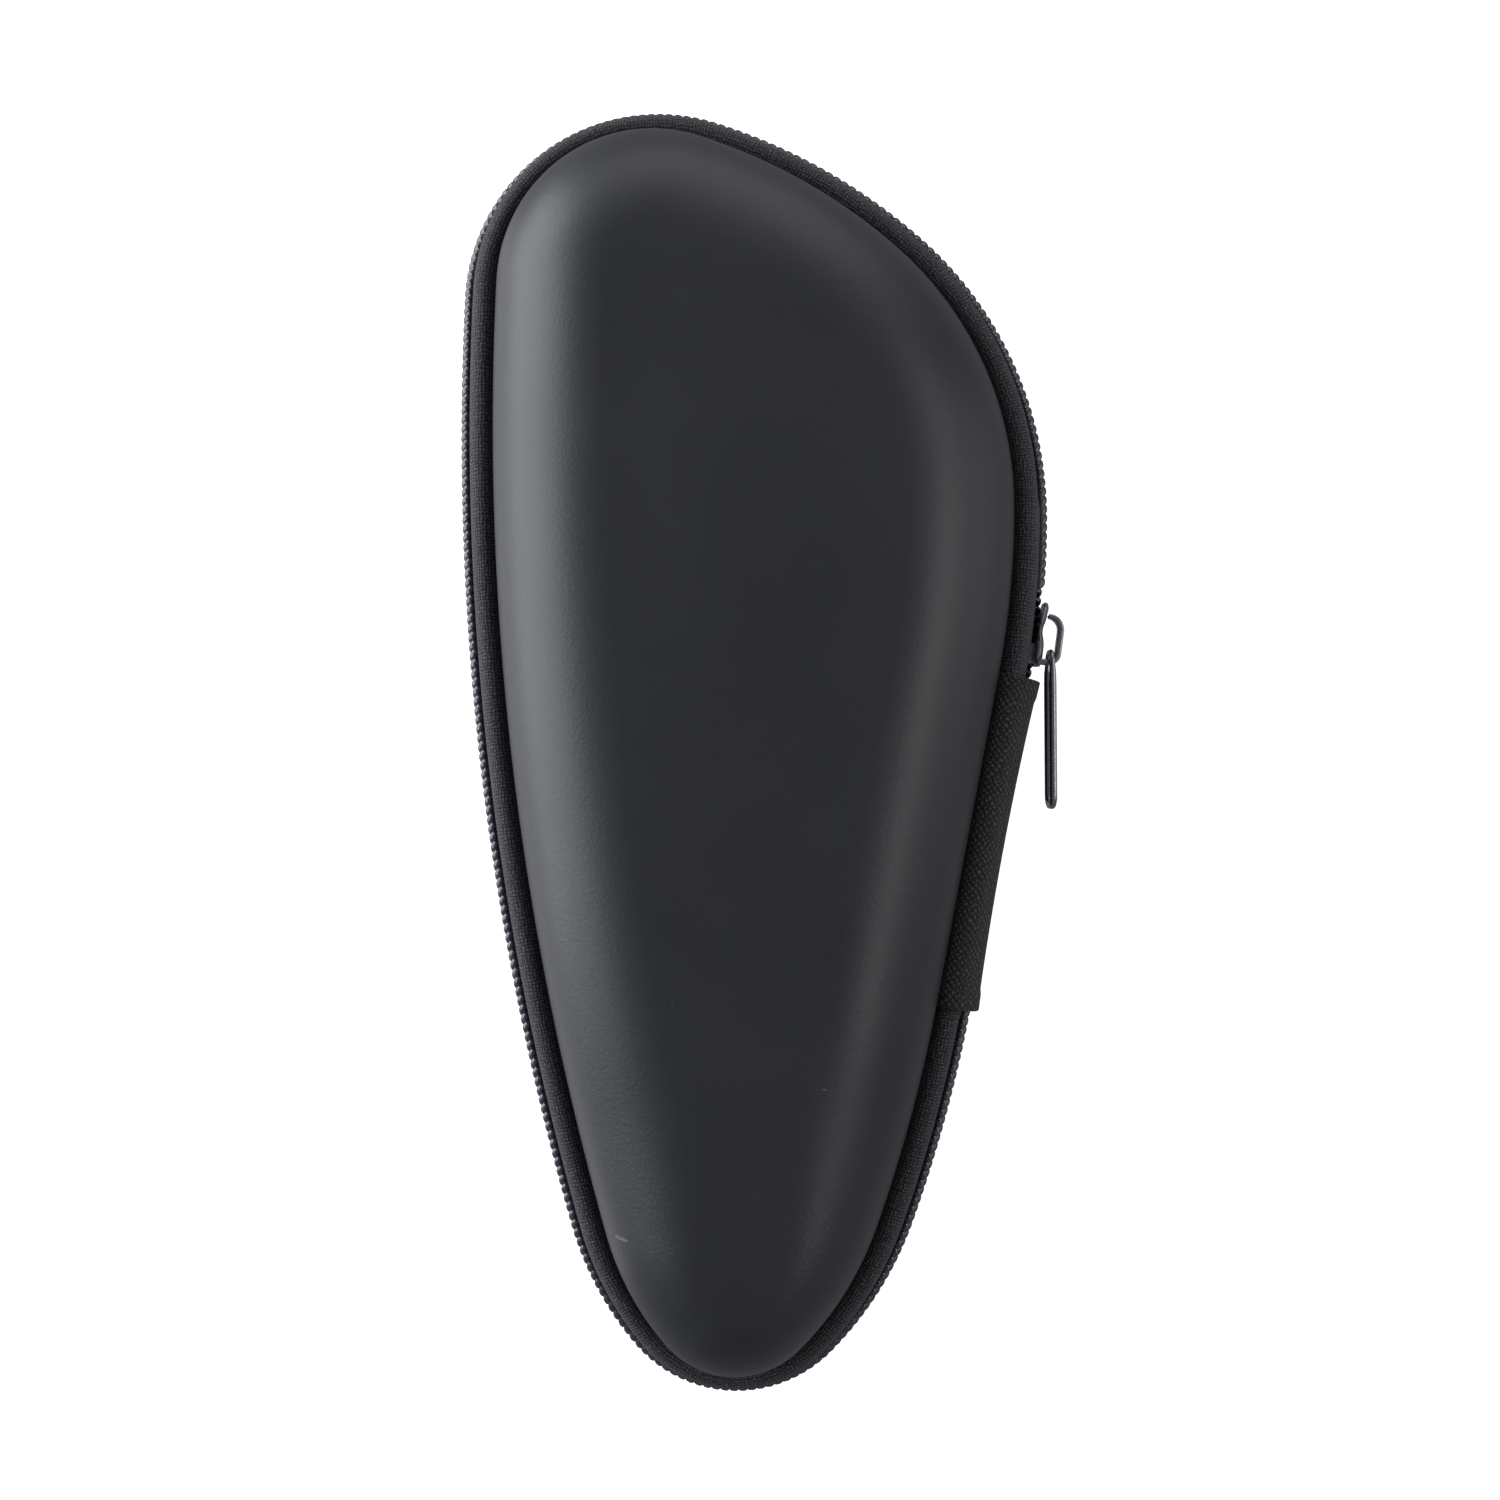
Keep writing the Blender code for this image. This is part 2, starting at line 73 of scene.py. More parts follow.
# The plan outline, counter-clockwise from the tip: each stretch turns the outward normal from
# `start` to `end` degrees round an arc, and one that doesn't turn is straight for `length`. The two
# radii of None are worked out, so that the outline closes on itself.
Stretch = namedtuple("Stretch", "name start end radius length", defaults=(0.0,))
HINGE_NORMAL = -11.0
PARK_NORMAL = -10.6
CHAIN_NORMAL = -5.4
HINGE_LENGTH = 55.5 * MM
TRACK_RADIUS = 150.0 * MM
LOW_RADIUS = 240.0 * MM
OUTLINE = (
    Stretch("tip", -139.5, -45.3, 22.6 * MM),
    Stretch("right_foot", -45.3, -20.0, 58.8 * MM),
    Stretch("right_low", -20.0, HINGE_NORMAL, LOW_RADIUS),
    Stretch("hinge", HINGE_NORMAL, HINGE_NORMAL, 0.0, HINGE_LENGTH),
    Stretch("above_hinge", HINGE_NORMAL, PARK_NORMAL, TRACK_RADIUS),
    Stretch("slider_park", PARK_NORMAL, CHAIN_NORMAL, TRACK_RADIUS),
    Stretch("chain_start", CHAIN_NORMAL, 0.0, TRACK_RADIUS),
    Stretch("shoulder", 0.0, 48.0, 63.0 * MM),
    Stretch("slope", 48.0, 72.0, None),
    Stretch("crown", 72.0, 177.0, 32.9 * MM),
    Stretch("left_side", 177.0, 195.7, None),
    Stretch("left_foot", 195.7, 220.5, 53.1 * MM),
)
RUN_STEP = 1.5 * MM
TRACE_STEPS = 4000

# Cross-section of a half, as inset from the outline and height from the zip's middle plane.
HALF_DEPTH = 31.0 * MM
WALL_INSET = 7.0 * MM
WALL_FOOT = 10.0 * MM
WALL_REACH = 20.4 * MM
TIP_REACH = 14.0 * MM
TIP_BLEND_START = -98.0 * MM
TIP_BLEND_END = -58.0 * MM
FLANGE_INSET = 6.6 * MM
FLANGE_EDGE = 5.2 * MM
FLANGE_REACH = 3.0 * MM
FLANGE_RISE = 2.6 * MM
WALL_STEPS = 22
FLANGE_STEPS = 6
CAP_STEPS = 3
SHARP_ANGLE = 40.0
BEVEL_ANGLE = 35.0

# The faces are filled with points in staggered rows, which make even triangles.
PANEL_SPACING = 4.0 * MM
PANEL_ROW_SPACING = PANEL_SPACING * 0.866

# Layers, as depths below the shell's outer surface.
SKIN_THICKNESS = 0.8 * MM
CORE_OUTSIDE = 1.1 * MM
CORE_INSIDE = 4.0 * MM
LINING_OUTSIDE = 4.4 * MM
LINING_INSIDE = 5.2 * MM
LINING_EDGE = 8.4 * MM
FACE_CROWN = 0.5 * MM

# Two rubbed spots, placed in plan: where they are, and half of how long. The shape stretches them
# along x and leaves out z.
SCUFFS = (((-21.1 * MM, -76.6 * MM, 0.0), 1.7 * MM), ((10.5 * MM, -52.2 * MM, 0.0), 0.6 * MM))
SCUFF_SHAPE = (1.0, 3.5, 0.0)

# The zip tapes, as middle surfaces of a folded strip.
TAPE_THICKNESS = 1.0 * MM
RIDGE_CENTRE = (4.9 * MM, 5.4 * MM)
RIDGE_REACH = 2.1 * MM
RIDGE_RISE = 4.7 * MM
RIDGE_TURNS = (20.0, 142.0)
RIDGE_STEPS = 18
TAPE_FOOT_INSET = 2.45 * MM
TAPE_FOOT_INSET_AT_SLIDER = 2.0 * MM
TAPE_EDGE_AT_COIL = 0.9 * MM
TAPE_EDGE_AT_SLIDER = 2.3 * MM
TAPE_EDGE_AT_HINGE = 6.0 * MM
TAPE_EDGE_BLEND = 4.0 * MM

# The binding of the raw edge inside, as its middle line's insets and heights in millimetres.
BINDING_LINE = ((8.25, 4.9), (8.75, 5.6), (9.3, 6.5), (9.75, 7.2))
BINDING_THICKNESS = 0.7 * MM

# The two rows of coil.
COIL_PITCH = 1.55 * MM
COIL_HEAD_WIRE = 0.38 * MM
COIL_ROOT_WIRE = 0.45 * MM
COIL_ROOT_WIDTH = 0.74 * MM
COIL_SWELL = (-0.6, 0.6)
COIL_DEPTH = 2.2 * MM
COIL_TOP = 2.7 * MM
COIL_MESHED = -0.45 * MM
COIL_PARTED = 0.2 * MM
COIL_LEAN = 0.15
COIL_TURN_STEPS = 14
COIL_SIDES = 10
MESH_BLEND = 6.0 * MM

# The slider, its hook and the wire loop, in the slider's frame: x out, y along the track, z up. The
# outer plate's lips fade where it narrows at its ends. Its rounding is how far the top drops at
# distances inward of its side, in millimetres. The post's stations are how far along it they are,
# in millimetres, and its half-width there. What is called a share is one of the part's length.
SLIDER_ANGLE = -7.8
SLIDER_LENGTH = 10.8 * MM
SLIDER_HALF_WIDTH = 4.1 * MM
OUTER_PLATE_TOP = 0.8 * MM
OUTER_PLATE_UNDER = 0.15 * MM
OUTER_LIP = -0.35 * MM
LIP_WIDTH = 0.62 * MM
LIP_LEAST = 0.05 * MM
LIP_FADE = (2.72 * MM, 2.86 * MM)
PLATE_ROUNDING = ((0.8, 0.0), (0.35, 0.5), (0.06, 1.5))
PLATE_TAPER = 0.14
PLATE_TAPER_SHARE = (0.25, 0.8)
PLATE_END_POWER = 10
PLATE_END_LEAST = 0.25
PLATE_DIP = 0.5 * MM
PLATE_DIP_MIDDLE = 0.55
PLATE_DIP_SPREAD = 0.14
PLATE_LUG = 0.12 * MM
PLATE_LUG_SHARE = (0.82, 0.9)
PLATE_STEPS = 25
INNER_PLATE = (-3.6 * MM, -2.5 * MM)
INNER_HALF_WIDTH = 2.2 * MM
POST_GAP = 0.4 * MM
POST_STATIONS = ((0.0, 0.05 * MM), (0.6, 0.12 * MM), (2.6, 0.12 * MM), (3.4, 0.05 * MM))
OVERLAP = 0.2 * MM
BAIL_WIDTH = 2.6 * MM
BAIL_THICKNESS = 1.05 * MM
BAIL_FOOT_Y = -4.5 * MM
BAIL_TIP_Y = 3.3 * MM
BAIL_REACH = 4.1 * MM
BAIL_TIP_X = 2.2 * MM
BAIL_FOOT_BEND = 1.6 * MM
BAIL_TIP_BEND = 2.3 * MM
BAIL_THINNING = 0.2
BAIL_THINNING_SHARE = (0.6, 1.0)
BAIL_NARROWING = 0.15
BAIL_NARROWING_SHARE = (0.7, 1.0)
BAIL_ROUNDNESS = 0.7
BAIL_SIDES = 20
BEND_STEPS = 9
WIRE_RADIUS = 0.64 * MM
WIRE_SIDES = 18
NECK_RADIUS = 0.4 * MM
NECK_BLEND = (1.2 * MM, 4.5 * MM)
LOOP_LENGTH = 27.3 * MM
LOOP_WIDTH = 6.6 * MM
LOOP_CORNER = 1.9 * MM
LOOP_SIDE_STEPS = 14
LOOP_BAR = (2.25 * MM, -2.65 * MM, 0.0)

# The hinge: the outer strap's middle line over one flange and half of the gap, as insets and
# heights in millimetres, the folds at its ends, which thicken it over a share of its length, and
# the inner strip.
STRAP_THICKNESS = 0.8 * MM
STRAP_LINE = (
    (6.55, 9.9),
    (5.9, 10.7),
    (4.9, 11.0),
    (3.5, 10.6),
    (1.9, 9.3),
    (0.4, 7.3),
    (-0.2, 5.0),
    (-0.35, 2.5),
    (-0.35, 0.0),
)
STRAP_HOLLOW = 0.7 * MM
STRAP_HOLLOW_INSET = 4.0 * MM
STRAP_STEP = 0.9 * MM
FOLD_THICKENING = 0.5
FOLD_SHARE = (0.045, 0.065)
STRIP_THICKNESS = 0.7 * MM
STRIP_INSET = 3.25 * MM
STRIP_HALF_HEIGHT = 4.7 * MM
STRIP_END_GAP = 1.0 * MM
STRIP_STEPS = 13

# The floor under the case.
FLOOR_HALF = 3.0
FLOOR_GAP = 0.2 * MM

# The camera looks down on the front shell from just below its middle.
CAMERA_HEIGHT = 300.0 * MM
CAMERA_FOOT = (2.2 * MM, -3.7 * MM)
CAMERA_AIM = (-0.86 * MM, -0.1 * MM)
CAMERA_ROLL = 0.005
CAMERA_LENS = 42.4


# ---------------------------------------------------------------- outline and cross-section


def direction(degrees):
    """Unit vector in the plan at an angle from +X."""
    return np.array((cos(radians(degrees)), sin(radians(degrees))))


def closed_stretches():
    """The stretches with the two open radii filled in."""
    drift = np.zeros(2)
    chords = []
    for s in OUTLINE:
        chord = direction(s.end) - direction(s.start)
        if s.radius is None:
            chords.append(chord)
        else:
            drift += s.radius * chord + s.length * direction(s.start + 90.0)
    solved = list(np.linalg.solve(np.array(chords).T, -drift))
    return [s._replace(radius=solved.pop(0)) if s.radius is None else s for s in OUTLINE]


STRETCHES = closed_stretches()
SPANS = [s.length or s.radius * radians(s.end - s.start) for s in STRETCHES]
STARTS = np.concatenate(([0.0], np.cumsum(SPANS)))
PERIMETER = STARTS[-1]
START_OF = {s.name: STARTS[n] for n, s in enumerate(STRETCHES)}


def stretch_centres():
    """The centre of each stretch's arc, or the point where a straight stretch begins."""
    corner = np.zeros(2)
    centres = []
    for s in STRETCHES:
        centres.append(corner - s.radius * direction(s.start))
        corner = centres[-1] + s.radius * direction(s.end) + s.length * direction(s.start + 90.0)
    return np.array(centres)


CENTRES = stretch_centres()


def outline_at(distance):
    """Points and outward normals at distances along the outline."""
    along = np.mod(distance, PERIMETER)
    which = np.clip(np.searchsorted(STARTS, along, side="right") - 1, 0, len(STRETCHES) - 1)
    local = along - STARTS[which]
    radius = np.array([s.radius for s in STRETCHES])[which]
    turned = np.where(radius > 0, local / (radius + 1e-12), 0.0)
    turn = np.radians([s.start for s in STRETCHES])[which] + turned
    normal = np.stack((np.cos(turn), np.sin(turn)), -1)
    tangent = np.stack((-normal[..., 1], normal[..., 0]), -1)
    straight = np.where(radius > 0, 0.0, local)
    return CENTRES[which] + radius[..., None] * normal + straight[..., None] * tangent, normal


TRACE = outline_at(np.linspace(0.0, PERIMETER, TRACE_STEPS))[0]
MIDDLE = (TRACE.min(0) + TRACE.max(0)) / 2

Run = namedtuple("Run", "distance points normals")


def run_between(start, end, step=RUN_STEP):
    """Samples along the outline from one distance to another."""
    count = max(2, round((end - start) / step) + 1)
    distance = np.linspace(start, end, count)
    points, normals = outline_at(distance)
    return Run(distance, points - MIDDLE, normals)


def whole_run():
    """Samples all round the outline."""
    distance = np.linspace(0.0, PERIMETER, round(PERIMETER / RUN_STEP), endpoint=False)
    points, normals = outline_at(distance)
    return Run(distance, points - MIDDLE, normals)


RING = whole_run()


def smoothstep(value, low, high):
    """0 below `low`, 1 above `high`, and smooth in between."""
    share = np.clip((value - low) / (high - low), 0.0, 1.0)
    return share * share * (3.0 - 2.0 * share)


def place(run, section, side):
    """World points of a section, given as inset and height, at every sample of a run."""
    inset, height = section[..., 0], section[..., 1]
    flat = run.points[:, None, :] - inset[..., None] * run.normals[:, None, :]
    level = np.broadcast_to(HALF_DEPTH + side * height, flat.shape[:2])
    return np.concatenate((flat, level[..., None]), -1)


def wall_section(run, depth):
    """The wall from the crease to the face's edge at each sample, `depth` under its surface."""
    past_tip = smoothstep(run.points[:, 1], TIP_BLEND_START, TIP_BLEND_END)
    full = TIP_REACH + (WALL_REACH - TIP_REACH) * past_tip
    turns = np.radians(np.linspace(0.0, 90.0, WALL_STEPS + 1))
    inset = WALL_INSET + full[:, None] - (full[:, None] - depth) * np.cos(turns)
    height = WALL_FOOT + (HALF_DEPTH - WALL_FOOT - depth) * np.sin(turns)
    return np.stack((inset, np.broadcast_to(height, inset.shape)), -1)


def flange_section(run, depth):
    """The rounded flange from its edge to the crease, `depth` under its surface, at each sample."""
    angles = np.linspace(0.0, pi / 2, FLANGE_STEPS + 1)
    reach, rise = FLANGE_REACH - depth, FLANGE_RISE - depth
    inset = FLANGE_INSET - reach * np.cos(angles)
    arc = np.stack((inset, FLANGE_EDGE + rise * np.sin(angles)), -1)
    return np.broadcast_to(arc, (len(run.points), *arc.shape))


def layer_section(depth):
    """A shell layer's surface from the flange's edge to the face, all round the outline."""
    return np.concatenate((flange_section(RING, depth), wall_section(RING, depth)), 1)


def ribbon(line, thickness):
    """The closed section of a strip with rounded edges about a middle line, or many at once."""
    run = np.gradient(line, axis=-2)
    run /= np.linalg.norm(run, axis=-1, keepdims=True)
    across = np.stack((-run[..., 1], run[..., 0]), -1) * thickness / 2
    ends = []
    for at, first, forward in ((-1, across, run), (0, -across, -run)):
        turns = np.linspace(0.0, pi, CAP_STEPS + 2)[1:-1]
        middle = line[..., at, None, :]
        arm = first[..., at, None, :]
        reach = forward[..., at, None, :] * thickness / 2
        ends.append(middle + arm * np.cos(turns)[:, None] + reach * np.sin(turns)[:, None])
    return np.concatenate((line + across, ends[0], (line - across)[..., ::-1, :], ends[1]), -2)


def smooth_line(points, steps):
    """A Catmull-Rom curve through points in a plane."""
    p = np.array(points, float)
    p = np.concatenate(([2 * p[0] - p[1]], p, [2 * p[-1] - p[-2]]))
    t = np.linspace(0.0, 1.0, steps, endpoint=False)[:, None]
    parts = []
    for a, b, c, d in zip(p, p[1:], p[2:], p[3:]):
        square, cube = 2 * a - 5 * b + 4 * c - d, 3 * b - a - 3 * c + d
        parts.append(0.5 * (2 * b + (c - a) * t + square * t**2 + cube * t**3))
    return np.concatenate((*parts, p[-2:-1]))


# ---------------------------------------------------------------- meshes


def finish_mesh(name, points, faces, uv=None):
    """A smooth-shaded object from points and faces, facing out, with or without a UV map."""
    mesh = bpy.data.meshes.new(name)
    mesh.from_pydata([tuple(p) for p in points], [], faces)
    if uv is not None:
        layer = mesh.uv_layers.new(name="UVMap")
        layer.data.foreach_set("uv", np.asarray(uv, np.float32).ravel())
    bm = bmesh.new()
    bm.from_mesh(mesh)
    bmesh.ops.recalc_face_normals(bm, faces=bm.faces)
    bm.to_mesh(mesh)
    bm.free()
    mesh.shade_smooth()
    mesh.set_sharp_from_angle(angle=radians(SHARP_ANGLE))
    made = bpy.data.objects.new(name, mesh)
    bpy.context.collection.objects.link(made)
    return made


def grid_corners(rows, columns, closed_rows, closed_columns):
    """For each quad of a grid, the rows and columns of its corners, not yet wrapped round."""
    r = np.arange(rows if closed_rows else rows - 1)
    c = np.arange(columns if closed_columns else columns - 1)
    i, j = (x.ravel() for x in np.meshgrid(r, c, indexing="ij"))
    return np.stack((i, i + 1, i + 1, i), -1), np.stack((j, j, j + 1, j + 1), -1)


def swept(name, grid, distance, closed_run):
    """A bar from closed sections, one for each row of the grid. Its UV map is in millimetres."""
    rows, columns = grid.shape[:2]
    corner_rows, corner_columns = grid_corners(rows, columns, closed_run, True)
    faces = ((corner_rows % rows) * columns + corner_columns % columns).tolist()
    section = grid[rows // 2]
    steps = np.linalg.norm(np.roll(section, -1, 0) - section, axis=-1)
    across = np.concatenate(([0.0], np.cumsum(steps)))
    along = np.append(distance, distance[0] + PERIMETER) if closed_run else distance
    uv = np.stack((along[corner_rows], across[corner_columns]), -1).reshape(-1, 2) / MM
    if not closed_run:
        faces.append(list(range(columns)))
        faces.append(list(range((rows - 1) * columns, rows * columns)))
        uv = np.concatenate((uv, np.zeros((2 * columns, 2))))
    return finish_mesh(name, grid.reshape(-1, 3), faces, uv)


def fill_ring(ring, normals, crown):
    """Inner points and triangles of a panel inside a convex ring, swollen towards its middle.

    Points of the ring come first in the triangles' numbering. The swelling follows a stretched
    membrane, eased so that it leaves the ring without a bend.
    """
    flat = ring[:, :2]
    low, high = flat.min(0), flat.max(0)
    xs = np.arange(low[0], high[0], PANEL_SPACING)
    ys = np.arange(low[1], high[1], PANEL_ROW_SPACING)
    gx, gy = np.meshgrid(xs, ys)
    gx = gx + (np.arange(len(ys)) % 2)[:, None] * PANEL_SPACING / 2
    inside = np.stack((gx.ravel(), gy.ravel()), -1)
    depth = ((flat[None] - inside[:, None]) * normals[None]).sum(-1).min(1)
    inside = inside[depth > PANEL_SPACING / 2]
    everything = np.concatenate((flat, inside))
    count = len(flat)
    edges = [(i, (i + 1) % count) for i in range(count)]
    scale = 1.0 / MM
    made = delaunay_2d_cdt([Vector(p * scale) for p in everything], edges, [], 1, 1e-6)
    source = [ids[0] for ids in made[3]]
    triangles = [[source[v] for v in face] for face in made[2]]
    system = np.zeros((len(everything), len(everything)))
    for triangle in triangles:
        for a, b in zip(triangle, triangle[1:] + triangle[:1]):
            system[a, b] = system[b, a] = -1.0
    np.fill_diagonal(system, -system.sum(1))
    swell = np.linalg.solve(system[count:, count:], np.ones(len(inside)))
    height = ring[0, 2] + crown * smoothstep(swell, 0.0, swell.max())
    return np.concatenate((inside, height[:, None]), -1), triangles


def dish(name, outer, inner, side, crown=0.0):
    """A thin bowl over the whole outline, between two sections from its edge to its face."""
    grid = place(RING, np.concatenate((outer[:, ::-1], inner), 1), side)
    rows, columns = grid.shape[:2]
    corner_rows, corner_columns = grid_corners(rows, columns, True, False)
    faces = ((corner_rows % rows) * columns + corner_columns).tolist()
    points = [grid.reshape(-1, 3)]
    total = rows * columns
    for column, swell in ((0, crown), (columns - 1, crown)):
        ring = np.arange(rows) * columns + column
        more, triangles = fill_ring(grid[:, column], RING.normals, side * swell)
        number = np.concatenate((ring, total + np.arange(len(more))))
        faces += [[int(number[v]) for v in triangle] for triangle in triangles]
        points.append(more)
        total += len(more)
    return finish_mesh(name, np.concatenate(points), faces)


def tube(name, path, radius, sides, axis, closed=False, width=None):
    """A wire along a path, round unless its half-width towards `axis` is given.

    `axis` is a direction that the path never follows.
    """
    ahead = np.roll(path, -1, 0) - np.roll(path, 1, 0)
    if not closed:
        ahead[0] = path[1] - path[0]
        ahead[-1] = path[-1] - path[-2]
    first = np.cross(ahead, axis)
    first /= np.linalg.norm(first, axis=-1, keepdims=True)
    second = np.cross(ahead, first)
    second /= np.linalg.norm(second, axis=-1, keepdims=True)
    turns = np.linspace(0.0, 2 * pi, sides, endpoint=False)
    thin = np.broadcast_to(radius, len(path))[:, None, None]
    wide = thin if width is None else width[:, None, None]
    spread = thin * np.cos(turns)[:, None] * first[:, None]
    spread = spread + wide * np.sin(turns)[:, None] * second[:, None]
    return swept(name, path[:, None] + spread, np.arange(len(path)) * MM, closed)


def bevelled(piece, width, segments=3):
    """Round a piece's sharp edges."""
    bevel = piece.modifiers.new("edges", "BEVEL")
    bevel.width = width
    bevel.segments = segments
    bevel.limit_method = "ANGLE"
    bevel.angle_limit = radians(BEVEL_ANGLE)
    return piece


# ---------------------------------------------------------------- materials


# The sockets of a Mix node that mixes colours.
MIX_SHARE, MIX_FIRST, MIX_SECOND, MIX_RESULT = 0, 6, 7, 2


def node(tree, kind, inputs=None, **settings):
    """Add a shader node, set its properties, and set or link its inputs."""
    made = tree.nodes.new("ShaderNode" + kind)
    for key, value in settings.items():
        setattr(made, key, value)
    for key, value in (inputs or {}).items():
        if isinstance(value, bpy.types.NodeSocket):
            tree.links.new(value, made.inputs[key])
        else:
            made.inputs[key].default_value = value
    return made


def calc(tree, operation, first, second=0.0, third=0.0):
    """A math node's result."""
    return node(tree, "Math", {0: first, 1: second, 2: third}, operation=operation).outputs[0]


def noise(tree, vector, scale, detail=3.0, stretch=(1.0, 1.0, 1.0)):
    """A noise texture's value, with cells about 1/scale long."""
    mapped = node(tree, "Mapping", {"Vector": vector, "Scale": [scale * s for s in stretch]})
    inputs = {"Vector": mapped.outputs[0], "Scale": 1.0, "Detail": detail}
    return node(tree, "TexNoise", inputs).outputs[0]


def finish_shader(tree, shader, colour=None, rough=None, bump=None):
    """Link what is given to the shader's colour, roughness and normal."""
    normal = None if bump is None else bump.outputs[0]
    for socket, key in ((colour, "Base Color"), (rough, "Roughness"), (normal, "Normal")):
        if socket is not None:
            tree.links.new(socket, shader.inputs[key])


def ramp(tree, value, low, high, colour_low, colour_high):
    """A colour between two, as a value goes from low to high."""
    share = node(tree, "MapRange", {0: value, 1: low, 2: high}).outputs[0]
    mix = node(tree, "Mix", data_type="RGBA")
    tree.links.new(share, mix.inputs[MIX_SHARE])
    mix.inputs[MIX_FIRST].default_value = (*colour_low, 1.0)
    mix.inputs[MIX_SECOND].default_value = (*colour_high, 1.0)
    return mix.outputs[MIX_RESULT]


def start_material(name, **fixed):
    """A new material, its node tree and its Principled shader with the fixed inputs set."""
    made = bpy.data.materials.new(name)
    made.use_nodes = True
    tree = made.node_tree
    shader = tree.nodes["Principled BSDF"]
    for key, value in fixed.items():
        shader.inputs[key.replace("_", " ")].default_value = value
    return made, tree, shader


def shell_leather():
    """Satin black synthetic leather with a fine grain, faint clouding and two dry scuffs."""
    made, tree, shader = start_material("shell_leather", Specular_IOR_Level=0.5)
    where = node(tree, "TexCoord").outputs["Object"]
    cells = node(tree, "TexVoronoi", {"Vector": where, "Scale": 1900.0}, feature="SMOOTH_F1")
    grain = cells.outputs["Distance"]
    pores = noise(tree, where, 3200.0, 2.0)
    threads = noise(tree, where, 900.0, 2.0, (0.25, 1.6, 1.0))
    height = calc(tree, "MULTIPLY", grain, 0.5)
    height = calc(tree, "ADD", height, calc(tree, "MULTIPLY", pores, 0.35))
    height = calc(tree, "ADD", height, calc(tree, "MULTIPLY", threads, 0.5))
    bump = node(tree, "Bump", {"Height": height, "Strength": 0.3, "Distance": 0.00012})
    cloud = noise(tree, where, 28.0)
    colour = ramp(tree, cloud, 0.35, 0.65, (0.0125, 0.0132, 0.0165), (0.0150, 0.0157, 0.0190))
    scuff = noise(tree, where, 260.0, 5.0, (1.0, 0.35, 1.0))
    for spot, length in SCUFFS:
        offset = node(tree, "VectorMath", {0: where, 1: spot}, operation="SUBTRACT")
        shape = {0: offset.outputs[0], 1: SCUFF_SHAPE}
        flat = node(tree, "VectorMath", shape, operation="MULTIPLY")
        away = node(tree, "VectorMath", {0: flat.outputs[0]}, operation="LENGTH").outputs["Value"]
        near = node(tree, "MapRange", {0: away, 1: length, 2: 0.0, 3: 0.0, 4: 0.7}).outputs[0]
        scuff = calc(tree, "ADD", scuff, near)
    scuff_share = node(tree, "MapRange", {0: scuff, 1: 0.735, 2: 0.80}).outputs[0]
    worn = node(tree, "Mix", data_type="RGBA")
    tree.links.new(scuff_share, worn.inputs[MIX_SHARE])
    tree.links.new(colour, worn.inputs[MIX_FIRST])
    worn.inputs[MIX_SECOND].default_value = (0.085, 0.085, 0.088, 1.0)
    rough = node(tree, "MapRange", {0: cloud, 1: 0.3, 2: 0.7, 3: 0.42, 4: 0.48}).outputs[0]
    rough = calc(tree, "ADD", rough, calc(tree, "MULTIPLY", scuff_share, 0.15))
    finish_shader(tree, shader, worn.outputs[MIX_RESULT], rough, bump)
    return made


def woven(name, pitch, dark, painted_highlight_colour, depth, bias=False):
    """Plain-woven yarn, `pitch` millimetres of the UV map to a crossing, straight or bias-cut."""
    fixed = dict(Roughness=0.82, Sheen_Weight=0.08, Sheen_Roughness=0.4)
    made, tree, shader = start_material(name, **fixed)
    uv = node(tree, "UVMap", uv_map="UVMap").outputs[0]
    split = node(tree, "SeparateXYZ", {0: uv})
    warp, weft = split.outputs["X"], split.outputs["Y"]
    if bias:
        across = (calc(tree, operation, warp, weft) for operation in ("ADD", "SUBTRACT"))
        warp, weft = [calc(tree, "MULTIPLY", way, 0.71) for way in across]
    turns = []
    for yarn_way, stretch in ((warp, (1.0, 0.6, 1.0)), (weft, (0.6, 1.0, 1.0))):
        wander = calc(tree, "SUBTRACT", noise(tree, uv, 0.45 / pitch, 2.0, stretch), 0.5)
        shifted = calc(tree, "ADD", yarn_way, calc(tree, "MULTIPLY", wander, 1.7 * pitch))
        turns.append(calc(tree, "SINE", calc(tree, "MULTIPLY", shifted, pi / pitch)))
    crossing = calc(tree, "MULTIPLY", turns[0], turns[1])
    fuzz = noise(tree, uv, 4.0 / pitch)
    yarn = noise(tree, uv, 1.3 / pitch, 1.0)
    height = calc(tree, "ADD", calc(tree, "ABSOLUTE", crossing), calc(tree, "MULTIPLY", fuzz, 0.9))
    # Painted highlight: the colour turns lighter on the raised yarn crossings, in patches set by a
    # noise.
    painted_highlight_share = calc(tree, "MULTIPLY", height, calc(tree, "MULTIPLY", yarn, 1.8))
    bump = node(tree, "Bump", {"Height": height, "Strength": 0.9, "Distance": depth})
    finish_shader(tree, shader, ramp(tree, painted_highlight_share, 0.68, 1.45, dark, painted_highlight_colour), bump=bump)
    return made


def coil_nylon():
    """Black nylon monofilament with a soft shine and slight drag marks."""
    made, tree, shader = start_material("coil_nylon", Specular_IOR_Level=0.7)
    where = node(tree, "TexCoord").outputs["Object"]
    mark = noise(tree, where, 700.0, 2.0)
    colour = ramp(tree, mark, 0.3, 0.7, (0.022, 0.020, 0.031), (0.042, 0.038, 0.055))
    rough = node(tree, "MapRange", {0: mark, 1: 0.3, 2: 0.7, 3: 0.2, 4: 0.3}).outputs[0]
    finish_shader(tree, shader, colour, rough)
    return made


